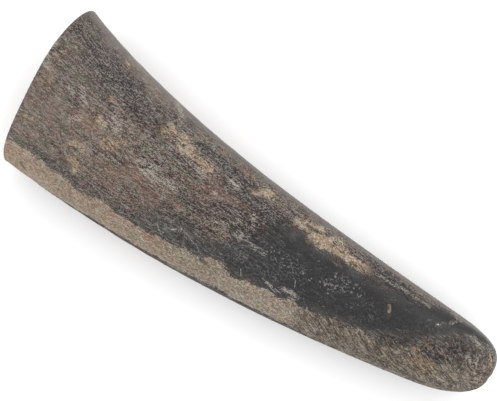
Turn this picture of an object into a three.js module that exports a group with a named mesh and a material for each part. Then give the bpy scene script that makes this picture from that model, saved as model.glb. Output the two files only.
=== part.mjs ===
// A water-buffalo horn lying on its flatter side: one hollow sheath of keratin, sawn across at its
// wide end and worn to a blunt, rounded tip. It is a single grown piece.
// Millimetres, +Z up, +X from the sawn end towards the tip, the underside resting on Z = 0.
import * as THREE from "three";
import { ParametricGeometry } from "three/addons/geometries/ParametricGeometry.js";

const { clamp, degToRad, lerp, smoothstep } = THREE.MathUtils;

// Centre line in plan, from the sawn end (t = 0) to the tip (t = 1): a shallow bend, hollow towards +Y.
const CENTRE_LINE = new THREE.CubicBezierCurve(
  new THREE.Vector2(-91.9, -0.2),
  new THREE.Vector2(-30.3, -12.8),
  new THREE.Vector2(31.3, -8.2),
  new THREE.Vector2(93.0, -4.1),
);
const CENTRE_LINE_LENGTH = 187;

// Half widths in plan, with a slight belly in the middle and a flare at the sawn end.
const HALF_WIDTH_BASE = 28.7;
const HALF_WIDTH_TIP = 11.8;
const BELLY = 1.45;
const FLARE = 1.65;
const FLARE_REACH = 0.11;

// Height of the section's centre, and how far the section rises above it and falls below it.
const CENTRE_HEIGHT_BASE = 17.5;
const CENTRE_HEIGHT_TIP = 10.4;
const RISE_BASE = 21.5;
const RISE_TIP = 10.5;
const FALL_BASE = 18.5;
const FALL_TIP = 11.0;

// The last part of the underside curls up off the surface.
const TIP_LIFT = 3.5;
const TIP_LIFT_FROM = 0.55;

// The section is a full oval with two worn flats on its upper side. Their reach is a share of the oval's radius.
const OVAL_FULLNESS = 2.15;
const EDGE_CRISPNESS = 10;
const NO_FLAT = 1.06;
const FLATS = [
  { name: "upper face", angle: degToRad(116), reach: 0.772, fadeFrom: 0.5, fadeTo: 0.9 },
  { name: "outer bevel", angle: degToRad(152.5), reach: 0.894, fadeFrom: 0.35, fadeTo: 0.8 },
];

// The rounded tip: where it starts, and how blunt it is towards +Y, towards -Y, and above and below.
const TIP_START = 0.869;
const TIP_BLUNT_INNER = 3.75;
const TIP_BLUNT_OUTER = 2.45;
const TIP_BLUNT_UPRIGHT = 2.2;

// The saw cut across the wide end: it leans out at the top.
const CUT_X = -88.8;
const CUT_LEAN = Math.tan(degToRad(6.6));
const CUT_SKEW = 0.012;

// The cavity that the bony core filled: its wall at the sawn end, its depth, and how it closes to a rounded point.
const WALL = 8.2;
const CAVITY_END = 0.4;
const CAVITY_TAPER = 1.5;
const CAVITY_CLOSE = 0.55;

// Facets.
const AROUND = 56;
const OUTER_ROWS = 52;
const RIM_ROWS = 2;
const CAVITY_ROWS = 14;
const TIP_CROWDING = 2;
const CUT_SOLVER_STEPS = 16;

// Radius of the section in a direction, as a share of the half width sideways and of the rise or fall upright.
function sectionRadius(t, angle) {
  const side = Math.abs(Math.cos(angle)) ** OVAL_FULLNESS;
  const upright = Math.abs(Math.sin(angle)) ** OVAL_FULLNESS;
  let sum = (side + upright) ** (EDGE_CRISPNESS / OVAL_FULLNESS);
  for (const flat of FLATS) {
    const reach = lerp(flat.reach, NO_FLAT, smoothstep(t, flat.fadeFrom, flat.fadeTo));
    sum += (Math.max(0, Math.cos(angle - flat.angle)) / reach) ** EDGE_CRISPNESS;
  }
  return sum ** (-1 / EDGE_CRISPNESS);
}

// How far the section has closed in the rounded tip: 1 before it starts, 0 at its end.
function tipClosing(t, angle) {
  const along = clamp((t - TIP_START) / (1 - TIP_START), 0, 1);
  const sideways = (TIP_BLUNT_INNER + TIP_BLUNT_OUTER) / 2 - TIP_BLUNT_UPRIGHT;
  const lopsided = (TIP_BLUNT_INNER - TIP_BLUNT_OUTER) / 2;
  const blunt = TIP_BLUNT_UPRIGHT + sideways * Math.cos(angle) ** 2 + lopsided * Math.cos(angle);
  return (1 - along ** blunt) ** (1 / blunt);
}

// The horn's half width, rise, fall and centre height at t.
function sizesAt(t) {
  return {
    halfWidth:
      lerp(HALF_WIDTH_BASE, HALF_WIDTH_TIP, t) + BELLY * 4 * t * (1 - t) + FLARE * Math.exp(-t / FLARE_REACH),
    rise: lerp(RISE_BASE, RISE_TIP, t),
    fall: lerp(FALL_BASE, FALL_TIP, t),
    height:
      lerp(CENTRE_HEIGHT_BASE, CENTRE_HEIGHT_TIP, t) + TIP_LIFT * smoothstep(t, TIP_LIFT_FROM, 1),
  };
}

// A point on the section at t, in a direction round it, with its walls moved in by inset and scaled by share.
function sectionPoint(t, angle, inset, share, target) {
  const size = sizesAt(t);
  const radius = sectionRadius(t, angle) * share;
  const sideways = (size.halfWidth - inset) * radius * Math.cos(angle);
  const upright = ((Math.sin(angle) > 0 ? size.rise : size.fall) - inset) * radius * Math.sin(angle);
  const centre = CENTRE_LINE.getPoint(t);
  const heading = CENTRE_LINE.getTangent(clamp(t, 0, 1));
  return target.set(
    centre.x - heading.y * sideways,
    centre.y + heading.x * sideways,
    size.height + upright,
  );
}

// The outer surface, flattened where it rests.
function outerPoint(t, angle, target) {
  sectionPoint(t, angle, 0, tipClosing(t, angle), target);
  target.z = Math.max(0, target.z);
  return target;
}

// The wall of the cavity.
function cavityPoint(t, angle, target) {
  const depth = clamp(t / CAVITY_END, 0, 1);
  return sectionPoint(t, angle, WALL, (1 - depth ** CAVITY_TAPER) ** CAVITY_CLOSE, target);
}

// The t at which a surface meets the saw cut in a direction.
function cutAt(surface, angle) {
  const point = new THREE.Vector3();
  let t = 0;
  for (let step = 0; step < CUT_SOLVER_STEPS; step++) {
    surface(t, angle, point);
    t += (CUT_X - CUT_LEAN * point.z + CUT_SKEW * point.y - point.x) / CENTRE_LINE_LENGTH;
  }
  return t;
}

// The whole skin in one sheet: v runs from the tip along the outside, over the saw cut, then down the cavity.
function hornSkin(u, v, target) {
  const angle = -u * 2 * Math.PI;
  const row = v * (OUTER_ROWS + RIM_ROWS + CAVITY_ROWS);
  if (row <= OUTER_ROWS) {
    const start = cutAt(outerPoint, angle);
    outerPoint(lerp(1, start, (row / OUTER_ROWS) ** TIP_CROWDING), angle, target);
  } else if (row < OUTER_ROWS + RIM_ROWS) {
    const outerEdge = outerPoint(cutAt(outerPoint, angle), angle, new THREE.Vector3());
    const innerEdge = cavityPoint(cutAt(cavityPoint, angle), angle, new THREE.Vector3());
    target.lerpVectors(outerEdge, innerEdge, (row - OUTER_ROWS) / RIM_ROWS);
  } else {
    const start = cutAt(cavityPoint, angle);
    const share = (row - OUTER_ROWS - RIM_ROWS) / CAVITY_ROWS;
    cavityPoint(lerp(start, CAVITY_END, 1 - (1 - share) ** TIP_CROWDING), angle, target);
  }
}

function makeHorn() {
  const geometry = new ParametricGeometry(hornSkin, AROUND, OUTER_ROWS + RIM_ROWS + CAVITY_ROWS);
  const keratin = new THREE.MeshStandardMaterial({ color: 0x70675f, roughness: 0.62, metalness: 0 });
  const horn = new THREE.Mesh(geometry, keratin);
  horn.name = "horn";
  return horn;
}

const part = new THREE.Group();
part.add(makeHorn());

export default part;
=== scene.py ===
"""A water-buffalo horn on a pale studio floor, seen from straight above.

The horn is one piece of keratin: a hollow sheath, sawn across at its wide end and worn to a blunt tip. Its
mesh is one sheet of rings, from the tip along the outside, over the saw cut and down the cavity. Lengths are
in millimetres until the mesh is made. A place on the horn is (millimetres along it from the sawn end, degrees
round it): 0 degrees faces +Y, 90 is the top, 180 the outer edge and 270 the underside.
"""

import functools
import math

import bpy
import numpy as np
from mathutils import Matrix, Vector


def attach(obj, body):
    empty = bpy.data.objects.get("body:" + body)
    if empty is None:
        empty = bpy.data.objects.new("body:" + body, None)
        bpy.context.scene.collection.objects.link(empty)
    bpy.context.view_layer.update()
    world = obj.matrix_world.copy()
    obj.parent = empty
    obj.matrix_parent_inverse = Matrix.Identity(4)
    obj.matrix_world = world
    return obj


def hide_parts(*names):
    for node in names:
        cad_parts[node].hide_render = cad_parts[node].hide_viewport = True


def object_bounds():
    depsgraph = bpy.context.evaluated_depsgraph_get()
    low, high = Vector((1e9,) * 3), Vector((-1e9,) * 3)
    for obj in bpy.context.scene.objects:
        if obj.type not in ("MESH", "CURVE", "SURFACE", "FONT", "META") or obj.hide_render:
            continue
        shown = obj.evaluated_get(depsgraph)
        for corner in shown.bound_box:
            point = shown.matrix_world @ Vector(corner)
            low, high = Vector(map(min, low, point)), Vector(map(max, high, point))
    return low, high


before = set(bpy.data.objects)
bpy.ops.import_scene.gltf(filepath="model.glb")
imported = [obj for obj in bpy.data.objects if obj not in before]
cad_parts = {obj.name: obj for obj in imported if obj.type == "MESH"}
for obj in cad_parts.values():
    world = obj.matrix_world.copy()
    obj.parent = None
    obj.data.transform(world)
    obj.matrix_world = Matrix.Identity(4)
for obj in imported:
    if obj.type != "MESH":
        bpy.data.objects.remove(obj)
cad_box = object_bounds()

MM = 0.001

# ---- The horn's shape: the same driving dimensions as the CAD part ----

# Centre line in plan, as the control points of one cubic curve from the sawn end (t = 0) to the tip (t = 1).
CENTRE_LINE = np.array([(-91.9, -0.2), (-30.3, -12.8), (31.3, -8.2), (93.0, -4.1)])
LENGTH = 187.0

# Half widths in plan, with a slight belly in the middle and a flare at the sawn end.
HALF_WIDTH = (28.7, 11.8)
BELLY = 1.45
FLARE = 1.65
FLARE_REACH = 0.11

# Height of the section's centre, and its rise above and fall below that, at the sawn end and at the tip.
CENTRE_HEIGHT = (17.5, 10.4)
RISE = (21.5, 10.5)
FALL = (18.5, 11.0)
TIP_LIFT = 3.5
TIP_LIFT_FROM = 0.55

# The section is a full oval with two worn flats. Each flat has an angle, its reach as a share of the oval's
# radius, and the stretch of the horn over which it fades out.
OVAL_FULLNESS = 2.15
EDGE_CRISPNESS = 10
NO_FLAT = 1.06
FLATS = [
    ("upper face", math.radians(116), 0.772, 0.5, 0.9),
    ("outer bevel", math.radians(152.5), 0.894, 0.35, 0.8),
]

# The rounded tip: where it starts, and how blunt it is towards +Y, towards -Y, and above and below.
TIP_START = 0.869
TIP_BLUNT_INNER = 3.75
TIP_BLUNT_OUTER = 2.45
TIP_BLUNT_UPRIGHT = 2.2

# The saw cut and the cavity behind it.
CUT_X = -88.8
CUT_LEAN = math.tan(math.radians(6.6))
CUT_SKEW = 0.012
CUT_SOLVER_STEPS = 16
WALL = 8.2
CAVITY_END = 0.4
CAVITY_TAPER = 1.5
CAVITY_CLOSE = 0.55

# ---- The mesh: rings of vertices, and how closely they lie ----

AROUND = 264
OUTER_ROWS = 296
RIM_ROWS = 14
CAVITY_ROWS = 56
RIM_START = OUTER_ROWS - 1
RIM_END = RIM_START + RIM_ROWS
EDGE_ROWS = 12
EDGE_SPACING = 0.3
EDGE_ROUNDING_ROWS = 8
EDGE_ROUNDING_PASSES = 10

# How finely the outside is measured, to space the rings evenly.
MEASURED_ROWS = 3000
MEASURED_AROUND = 24

# ---- Marks on the surface ----

# Upper and lower edge of the tan band that is ground along the horn's outer side.
BAND_EDGE = [
    (-8, 146), (5, 145), (12, 144), (30, 146), (34, 148), (38, 144), (50, 143), (62, 143), (70, 139),
    (79, 138), (81, 129), (84, 126), (87, 134), (94, 135), (97, 131), (100, 133), (105, 131), (109, 130),
    (112, 128), (114, 126), (118, 128), (121, 124), (126, 121), (134, 119), (139, 117), (143, 118),
    (146, 109), (152, 102), (158, 98), (164, 96), (187, 92),
]
BAND_FOOT = [
    (-8, 200), (10, 196), (30, 187), (45, 179), (60, 179), (65, 175), (70, 176), (88, 170), (94, 172),
    (120, 169), (142, 172), (155, 172), (187, 170),
]

# Upper and lower edge of the smooth charcoal zone. It lies above the tan band and widens towards the tip.
CHARCOAL_EDGE = [
    (-8, 137), (20, 136), (44, 135), (48, 129), (53, 121), (57, 108), (62, 113), (70, 108), (76, 112),
    (82, 104), (86, 90), (91, 74), (95, 59), (100, 54), (104, 52), (108, 55), (114, 51), (124, 49),
    (131, 49), (137, 47), (144, 44), (150, 41), (156, 34), (163, 24), (187, 10),
]
CHARCOAL_FOOT = [
    (118, 200), (120, 128), (126, 124), (133, 120), (141, 116), (146, 109), (152, 100), (157, 90),
    (162, 78), (167, 64), (172, 52), (187, 40),
]

# Each mark: name, where it starts, where it ends, its half width in millimetres, and its strength.
TAN_MARKS = [
    ("ridge streak start", (43, 52), (46, 52), 3, 1.15),
    ("ridge streak", (51, 46), (55, 52), 1.7, 0.8),
    ("ridge streak bright", (52, 57), (60, 57), 1.5, 1),
    ("ridge streak end", (60, 57), (64.5, 55.5), 1.8, 1.1),
    ("patch below edge", (82, 48), (87, 36), 2.2, 0.85),
    ("patch tail", (88, 43), (92, 44), 1.2, 0.3),
    ("bright patch, inner side", (100, 49), (110, 35), 1.8, 0.9),
    ("bright patch, lower side", (102, 45), (107, 49), 1.2, 0.9),
    ("bright patch", (108, 49), (121, 49), 3.1, 1.2),
    ("bright patch, upper horn", (113, 42), (118, 33), 1.6, 0.9),
    ("bright patch end", (120, 47), (131, 45), 2.5, 1.3),
    ("spot by saw cut", (22, 106), (22, 112), 1.2, 0.65),
    ("second spot by cut", (25, 106), (26, 110), 0.8, 0.5),
    ("spot above band", (30, 88), (34.5, 86), 2.3, 1.1),
    ("spot on upper face", (24, 79), (26.5, 80), 1.2, 1.3),
    ("spot near band", (25.5, 124), (27.5, 128), 2.3, 1.1),
    ("fleck pair", (22, 62), (24, 64), 0.6, 0.5),
    ("spot by corner", (5, 117), (7, 118), 1.2, 0.4),
    ("upper edge stain", (18, 27), (23, 33), 1.5, 0.4),
    ("charcoal island", (78, 92), (81, 98), 1.1, 0.5),
    ("tip edge stain", (182, 42), (184, 60), 1.1, 0.8),
    ("tip side stain", (181, 98), (183, 128), 1.2, 0.5),
    ("streaks on outer tip", (166, 120), (171, 136), 1, 0.6),
    ("inner side, patch", (30, 318), (44, 312), 2.6, 0.9),
    ("inner side, streak", (70, 352), (84, 350), 1.2, 0.7),
    ("inner side, second patch", (104, 322), (122, 316), 2.4, 0.9),
    ("inner side, spot", (142, 334), (149, 338), 1.3, 0.8),
    ("outer side, spot", (50, 216), (62, 212), 1.7, 0.9),
    ("before streak's core", (47, 51), (51, 52), 2.2, 0.5),
]
ORANGE_MARKS = [
    ("saw cut stain", (-1, 86), (4, 83), 1.5, 0.9),
    ("thin stain by cut", (0, 62), (2, 76), 0.9, 0.6),
    ("smooth spot", (20, 84), (24, 85), 1.4, 0.5),
    ("below pale area", (22, 62), (23, 65), 0.8, 0.5),
    ("among specks", (35, 104), (39, 112), 1.8, 0.7),
    ("corner stain", (8, 160), (10, 179), 2.2, 1),
    ("corner stain, second", (14, 158), (22, 159), 1.5, 0.6),
    ("ridge streak glow", (56, 54), (64, 56), 1.1, 0.8),
    ("above tip's streaks", (158, 84), (161, 91), 0.8, 0.7),
    ("stain near tip", (158, 106), (165, 116), 1.7, 0.9),
    ("stain near tip, lower", (158, 122), (166, 126), 1.6, 0.9),
    ("band peak", (82, 130), (84, 138), 0.9, 0.5),
    ("band stain", (97, 136), (99, 143), 0.8, 0.6),
    ("band, greenish side", (48, 160), (52, 168), 1, 0.5),
    ("around streaks", (163, 48), (167, 34), 1.5, 0.9),
    ("on upper face", (20, 76), (23, 77), 1, 0.5),
    ("red streak's glow", (41, 100), (45, 98), 1.2, 0.5),
    ("by spot near band", (25, 122), (28, 124), 1.3, 0.5),
]
BROWN_MARKS = [
    ("by saw cut", (4, 105), (18, 106), 9, 1),
    ("above specks", (22, 88), (36, 84), 4.6, 0.9),
    ("around spots", (20, 104), (30, 112), 4, 0.6),
    ("below pale streak", (36, 108), (52, 104), 4.4, 0.9),
    ("upper edge", (18, 22), (34, 26), 4, 0.5),
    ("beside pale streak", (36, 86), (44, 88), 2.6, 0.8),
    ("near corner", (4, 128), (22, 130), 3.5, 0.9),
    ("near rim", (-2, 72), (7, 91), 2.8, 0.9),
    ("inner side", (20, 350), (60, 330), 5, 0.7),
    ("inner side, near tip", (95, 345), (130, 330), 4.5, 0.8),
    ("outer side", (30, 206), (70, 200), 4.5, 0.7),
    ("on upper face", (18, 76), (24, 76), 2, 0.8),
    ("by spot near band", (24, 122), (28, 126), 2.4, 1.1),
    ("by spot near cut", (20, 115), (26, 117), 2, 1),
    ("beyond pale streak", (49, 93), (58, 90), 1.8, 0.7),
    ("before ridge streak", (35, 69), (40, 69), 1.6, 0.8),
    ("tip, outer side", (180, 88), (185, 60), 1.8, 0.9),
    ("where charcoal starts", (86, 64), (88, 64), 1.5, 0.6),
    ("in charcoal", (126, 56), (142, 57), 2.6, 0.8),
]
RED_MARKS = [
    ("near saw cut", (19, 86), (24, 87), 2.4, 1.1),
    ("middle", (40, 97), (48, 96), 2.4, 1.1),
    ("above charcoal", (51, 105), (56, 113), 2.5, 1.3),
    ("towards ridge", (66, 68), (82, 66), 3.6, 0.7),
    ("lower mid", (60, 97), (64, 97), 1.1, 0.9),
    ("streaks in middle", (66, 86), (74, 92), 2, 0.6),
    ("below edge", (73, 36), (77, 36), 1.6, 0.8),
    ("under stain", (34, 109), (38, 108), 1.8, 0.6),
    ("above band", (46, 122), (54, 126), 1.4, 0.6),
    ("inner side", (60, 335), (72, 332), 2.8, 0.8),
    ("above band, middle", (33, 120), (39, 122), 2, 0.7),
    ("by saw cut", (7, 104), (10, 106), 1.6, 0.6),
    ("under second patch", (31, 56), (40, 56), 2.6, 0.5),
]
DARK_MARKS = [
    ("upper corner", (-3, 43), (10, 44), 3.3, 0.9),
    ("by upper corner", (12, 50), (28, 47), 4.2, 1.1),
    ("second patch", (28, 53), (40, 52), 3.3, 1.6),
    ("upper edge", (14, 35), (28, 36), 1.6, 0.8),
    ("line below patch", (29, 59), (42, 62), 0.9, 0.7),
    ("above band", (12, 138), (30, 139), 1.2, 0.4),
    ("near band", (21, 132), (25, 130), 1.4, 0.3),
    ("black specks", (35, 94), (40, 95), 0.8, 1),
    ("beside ridge streak", (57, 42), (66, 43), 1.7, 1.1),
    ("before ridge patch", (74, 44), (81, 43), 1.7, 1.1),
    ("under ridge patch", (73, 57), (84, 57), 2.4, 1.6),
    ("behind ridge patch", (85, 55), (98, 57), 2.6, 0.9),
    ("mid streak", (60, 68), (66, 67), 0.7, 0.4),
    ("mid streaks", (74, 76), (84, 74), 2, 0.6),
    ("lower mid streaks", (62, 88), (74, 90), 1.8, 0.6),
    ("black spot", (76, 77), (78, 78), 0.7, 1.3),
    ("towards charcoal", (78, 84), (90, 82), 2, 0.8),
    ("over charcoal", (64, 108), (72, 107), 1.1, 0.3),
    ("in bright patch", (104, 43), (108, 42), 0.7, 0.9),
    ("corner spot", (12, 165), (14, 170), 0.7, 0.8),
    ("gap in outer edge", (149, 150), (153, 160), 1.1, 1),
    ("second gap", (157, 150), (160, 158), 0.9, 0.8),
    ("tip, upper side", (163, 40), (178, 30), 2, 0.9),
    ("tip, middle", (168, 80), (172, 90), 1.6, 0.5),
    ("tip, below middle", (160, 99), (166, 102), 1.6, 1),
    ("tip, outer side", (168, 140), (171, 143), 1, 0.5),
    ("beside streak's tail", (66, 43), (74, 44), 2, 1.2),
    ("where charcoal starts", (86, 61), (96, 64), 2.2, 0.9),
    ("beyond bright patch", (132, 43), (146, 38), 2.8, 0.9),
    ("charcoal, upper side", (132, 62), (150, 58), 3.4, 1),
    ("charcoal, upper end", (150, 54), (160, 48), 2.4, 0.8),
    ("charcoal's foot", (146, 113), (153, 104), 1.8, 0.8),
    ("second patch, upper side", (30, 46), (38, 46), 1.6, 0.9),
    ("upper edge, near tip", (129, 31), (142, 32), 1.8, 1),
    ("above charcoal's end", (138, 46), (147, 44), 2, 1),
    ("between bark and band", (46, 138), (52, 137), 1, 0.8),
    ("before ridge streak", (42, 62), (46, 62), 1.2, 0.6),
    ("corner of upper edge", (-5, 28), (4, 31), 2.4, 0.5),
    ("tip, below flecks", (168, 98), (174, 104), 1.5, 0.9),
    ("above patch's end", (88, 59), (96, 60), 2, 1.3),
    ("mid, lower side", (73, 92), (77, 91), 1.2, 0.6),
    ("band's foot", (86, 169), (91, 169), 1.2, 0.7),
    ("band edge", (79, 139), (81, 140), 0.9, 0.8),
    ("inner side, near cut", (6, 335), (30, 330), 4.5, 0.7),
    ("inner side, middle", (40, 346), (62, 340), 3.5, 0.6),
    ("inner side, far", (84, 330), (110, 338), 4.5, 0.7),
    ("inner side, near tip", (120, 350), (150, 340), 3, 0.6),
    ("inner side, at tip", (152, 320), (170, 330), 3, 0.7),
    ("outer side, near cut", (6, 214), (24, 208), 3, 0.7),
    ("above charcoal", (81, 71), (90, 74), 2.2, 0.9),
    ("tip, centre", (169, 70), (175, 71), 1.8, 0.7),
    ("outer tip, foot", (163, 158), (167, 160), 1.2, 0.6),
    ("charcoal's upper edge", (117, 64), (122, 64), 1.6, 0.9),
    ("tip, inner end", (181, 32), (183, 30), 1.6, 0.7),
    ("second patch, far side", (36, 46), (40, 46), 2.2, 0.8),
    ("outer edge, middle", (113, 168), (118, 168), 1.2, 0.5),
    ("outer edge, far", (129, 169), (133, 169), 1.3, 0.6),
    ("beside bright patch", (104, 60), (108, 60), 1.4, 1),
    ("below upper corner", (7, 54), (12, 54), 2, 0.6),
]
PALE_MARKS = [
    ("grey streak", (47, 86.5), (59, 85.5), 0.85, 2.2),
    ("grey streak, upper", (43, 85), (50, 80), 0.8, 1),
    ("dry fibres", (13, 71), (17, 77), 0.8, 0.9),
    ("fleck by cut", (10, 77), (12, 77), 0.6, 0.9),
    ("fleck at cut", (-1, 77), (0, 77), 0.6, 0.9),
    ("pale rim of red spot", (17, 94), (19, 87), 0.9, 0.7),
    ("mid fleck", (73, 53), (76, 53), 1, 0.9),
    ("white spot", (70.5, 69), (71.5, 72), 0.7, 1),
    ("white spot, second", (86, 67), (87.5, 75), 0.7, 0.9),
    ("slanted streak", (80, 84), (83, 77), 0.6, 0.9),
    ("greenish streak", (72, 93), (79, 88), 0.7, 0.7),
    ("short streak", (91, 91), (96, 91), 0.8, 0.8),
    ("light end of ridge", (41, 16), (45, 32), 1.5, 0.6),
    ("outer tip streaks", (170, 104), (181, 132), 1.9, 0.7),
    ("tip centre flecks", (174, 74), (176, 80), 0.8, 0.6),
    ("tip end flecks", (178, 72), (179.5, 84), 0.8, 0.9),
    ("rim of saw cut", (-4.5, 62), (-2.5, 72), 1.2, 0.5),
    ("grey streak, lower", (45, 90), (53, 91), 0.8, 0.8),
    ("spots at foot", (137, 118), (140, 119), 1.1, 0.9),
    ("outer tip, lower side", (177, 132), (181, 146), 1.5, 0.8),
    ("above mid streaks", (61, 63), (64, 65), 1, 0.5),
    ("pinkish streaks", (133, 46), (146, 43), 0.8, 0.3),
    ("pinkish streaks, second", (148, 43), (155, 43), 0.6, 0.2),
    ("outer tip, foot", (165, 146), (172, 148), 1.8, 0.5),
    ("band, near tip", (123, 146), (128, 144), 1.6, 0.5),
    ("above charcoal", (84.5, 88), (88, 86), 1, 0.5),
    ("corner of band", (2, 148), (8, 148), 1.6, 0.6),
    ("band's foot, light", (136, 158), (146, 163), 1.4, 0.6),
    ("tip's inner side", (181, 38), (185, 42), 1.4, 0.5),
    ("worn spot", (108, 118), (112.5, 122), 1, 0.6),
    ("tip's upper streaks", (164.2, 48), (166, 37), 0.6, 0.8),
    ("tip's upper streak", (165.6, 31), (167.8, 31), 0.6, 0.8),
    ("outer tip, orange side", (167, 123), (171, 125), 1.5, 0.9),
    ("tip's upper side", (174, 46), (178, 50), 1.2, 0.35),
    ("inner side, fibres", (52, 322), (66, 325), 1.2, 0.8),
    ("inner fibres, tip", (126, 326), (134, 322), 1, 0.8),
    ("inner fibres, cut", (12, 318), (22, 316), 1.4, 0.6),
    ("outer side, fibres", (80, 200), (92, 204), 1, 0.7),
    ("worn spot, by band", (110, 115.5), (113.5, 118.5), 0.9, 0.7),
    ("dry area", (27, 73), (32, 75), 1.5, 0.4),
    ("outer tip, middle", (172, 116), (182, 140), 1.4, 1),
    ("outer edge, light", (152, 164), (156, 165), 1.3, 0.6),
]
FLECK_MARKS = [
    ("cluster near band", (63, 126), (68, 119), 1.8, 1),
    ("fleck", (109.3, 99), (110.3, 99), 0.6, 1.3),
    ("second fleck", (112.5, 98), (113.3, 98), 0.5, 1.1),
    ("third fleck", (113.8, 92), (114.6, 88), 0.55, 1.3),
    ("fourth fleck", (116.5, 69), (117, 71), 0.5, 1.1),
    ("cluster", (118.5, 86), (125, 80), 2.2, 1),
    ("cluster, core", (121.5, 92), (122.5, 85), 1.3, 1),
    ("cluster, upper side", (122, 73), (131, 76), 2.2, 0.8),
    ("charcoal dust", (98, 86), (110, 90), 3, 0.7),
    ("dust near band", (88, 112), (104, 108), 3.2, 0.25),
    ("faint flecks", (136, 79), (139, 92), 1.8, 0.35),
    ("lone fleck", (136, 103), (136.6, 105), 0.5, 1.4),
    ("fleck by band", (118, 124), (118.6, 128), 0.55, 1.2),
    ("white fleck", (160, 61), (160.6, 59), 0.7, 1.5),
    ("small white fleck", (156.8, 61), (157.4, 60), 0.7, 1.3),
    ("tip streak", (164.6, 48), (165.8, 38), 0.6, 1.2),
    ("tip streak, second", (165.6, 31), (167.4, 31), 0.6, 1.2),
    ("white stroke", (62.8, 136.5), (63.6, 132.5), 0.6, 1.3),
    ("second white stroke", (65.2, 125.5), (66, 122.5), 0.65, 1.35),
    ("third white stroke", (67.6, 116.5), (68.4, 119), 0.6, 1.35),
    ("fourth white stroke", (63.8, 115), (64.8, 115.5), 0.7, 1.4),
    ("fleck by worn spot", (115.2, 115), (116, 115), 0.5, 1.1),
    ("end of worn spot", (111.8, 101), (112.3, 102), 0.5, 1),
]
# Thin scratches: where each one starts and ends.
SCRATCHES = [
    ((100.2, 119.5), (103.6, 123)),
    ((101.5, 122.5), (106, 127)),
    ((69, 118), (73.4, 124)),
    ((92.2, 124), (93.2, 130)),
    ((84, 92), (90, 89)),
    ((110.2, 101), (110.8, 107)),
    ((102, 120), (107.6, 124.6)),
    ((60, 128), (62, 133.5)),
]
SCRATCH_REACH = 1.6

# The small gouge near the tip: its pale rim, its dark core and the stain below it.
NICK = {
    "nick": ((142.2, 71.5), (143.1, 77.0), 0.8),
    "nick_core": ((141.9, 72.0), (142.5, 75.5), 0.55),
    "nick_tail": ((143.4, 80), (143.8, 83), 1.1),
}

PLAIN_MARKS = {
    "orange": ORANGE_MARKS,
    "brown": BROWN_MARKS,
    "red": RED_MARKS,
    "dark": DARK_MARKS,
    "pale": PALE_MARKS,
    "fleck": FLECK_MARKS,
}

# How far below 0 a mark's field goes outside it, and the share of the fibres' relief left in the charcoal.
MARK_EDGE = 1.5
CHARCOAL_FIBRES = 0.25

# Sizes of the worn layers, of the dark strip painted as shade at the band's foot, and of the relief, in
# millimetres.
FOOT_WIDTH = 5.0
UNDER_CHARCOAL_FROM = 88.0
RUB_HEIGHT = (2.2, 0.2)
STEP_DEPTH = 0.2
NICK_DEPTH = 0.45
PIT_DEPTH = 0.16
RING_SPACING = 9.5
RING_HEIGHT = 0.04
RINGS_FADE = (110, 20)
SAW_MARK_SPACING = 1.3
SAW_MARK_HEIGHT = 0.035

# The saw marks lie across this direction of the cut: its parts sideways and upward.
SAW_MARK_SLANT = (0.34, 0.94)

# Noises of the shape: strength, lumps to a millimetre along and across the horn, seed and octaves. A drift's
# strength is in radians, that of the pits is a share of their depth, and the others are in millimetres.
SHAPE_NOISES = {
    "ragged edges": (0.9, 0.25, 0.55, 11, 2),
    "finer edges": (0.35, 0.7, 1.4, 12, 1),
    "swell": (0.16, 1 / 34, 1 / 17, 21, 2),
    "ridges": (0.05, 1 / 9, 0.75, 22, 2),
    "fibres": (0.035, 1 / 3, 1.7, 23, 1),
    "ring drift": (2, 1 / 30, 1 / 30, 24, 1),
    "pits": (1, 0.45, 0.9, 25, 1),
    "saw drift": (1.5, 1 / 9, 1 / 9, 31, 1),
    "saw swell": (0.05, 1 / 5, 1 / 5, 32, 2),
    "furrows": (0.22, 1 / 16, 0.3, 41, 2),
    "cavity grain": (0.08, 0.3, 0.9, 42, 2),
}

# Degrees round the horn where the smooth underside and the polished inner side, with its painted sheen, begin
# and end.
UNDERSIDE_STARTS = (188, 215)
UNDERSIDE_ENDS = (345, 318)
POLISH_STARTS = (-38, -5)
POLISH_ENDS = (36, 17)
SEAM = 315

# Millimetres along the horn over which a look changes towards the tip.
MIXED_BAND = (112, 121)
STREAKED_EDGE = (118, 134)
TIP_GRAIN = (150, 165)
FOOT_NARROWS = (118, 132)
FOOT_ENDS = (165, 187)


def lerp(low, high, share):
    return low + (high - low) * share


def smoothstep(value, low, high):
    share = np.clip((value - low) / (high - low), 0, 1)
    return share * share * (3 - 2 * share)


# ---- The horn's surface as formulas ----


def centre_line(t):
    """Points and unit headings of the centre line in plan."""
    a, b, c, d = CENTRE_LINE
    s = t[..., None]
    r = 1 - s
    point = r**3 * a + 3 * r * r * s * b + 3 * r * s * s * c + s**3 * d
    s = np.clip(s, 0, 1)
    r = 1 - s
    heading = r * r * (b - a) + 2 * r * s * (c - b) + s * s * (d - c)
    return point, heading / np.linalg.norm(heading, axis=-1, keepdims=True)


def section_radius(t, angle):
    """Radius of the section, as a share of the half width sideways and of the rise or fall upright."""
    oval = np.abs(np.cos(angle)) ** OVAL_FULLNESS + np.abs(np.sin(angle)) ** OVAL_FULLNESS
    total = oval ** (EDGE_CRISPNESS / OVAL_FULLNESS)
    for _, flat_angle, flat_reach, fade_from, fade_to in FLATS:
        reach = lerp(flat_reach, NO_FLAT, smoothstep(t, fade_from, fade_to))
        total = total + (np.maximum(0, np.cos(angle - flat_angle)) / reach) ** EDGE_CRISPNESS
    return total ** (-1 / EDGE_CRISPNESS)


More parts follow.
